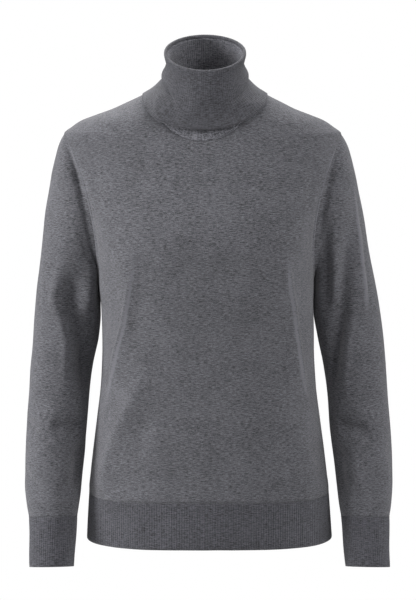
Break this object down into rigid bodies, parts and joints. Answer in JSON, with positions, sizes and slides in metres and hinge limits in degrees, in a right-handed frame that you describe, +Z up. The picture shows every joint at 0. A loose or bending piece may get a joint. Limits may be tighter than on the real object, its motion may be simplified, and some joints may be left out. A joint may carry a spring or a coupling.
{
  "type": "turtleneck sweater",
  "caption": "Fine-knit turtleneck sweater with set-in long sleeves, a turned-down rib collar and rib hem and cuffs, filled out as if worn, open at neck, hem and wrists.",
  "frame": {"origin": "the middle of the neck opening, level with the two points where the shoulder seams meet the neckline: the wearer's shoulders carry the garment there", "axes": "+Z up, the front faces -Y, the wearer's right sleeve is at -X and the left sleeve at +X"},
  "size_m": [0.5163, 0.2264, 0.7477],
  "materials": {
    "jersey": "fine plain knit in mid-grey melange wool, matt",
    "ribbing": "fine one-by-one rib in the same yarn, matt"
  },
  "bodies": {
    "root": {"front": "jersey", "back": "jersey", "sleeve_right": "jersey", "sleeve_left": "jersey", "hem_rib_front": "ribbing", "hem_rib_back": "ribbing", "cuff_right": "ribbing", "cuff_left": "ribbing", "collar_stand": "ribbing", "collar_fall": "ribbing"}
  },
  "joints": []
}
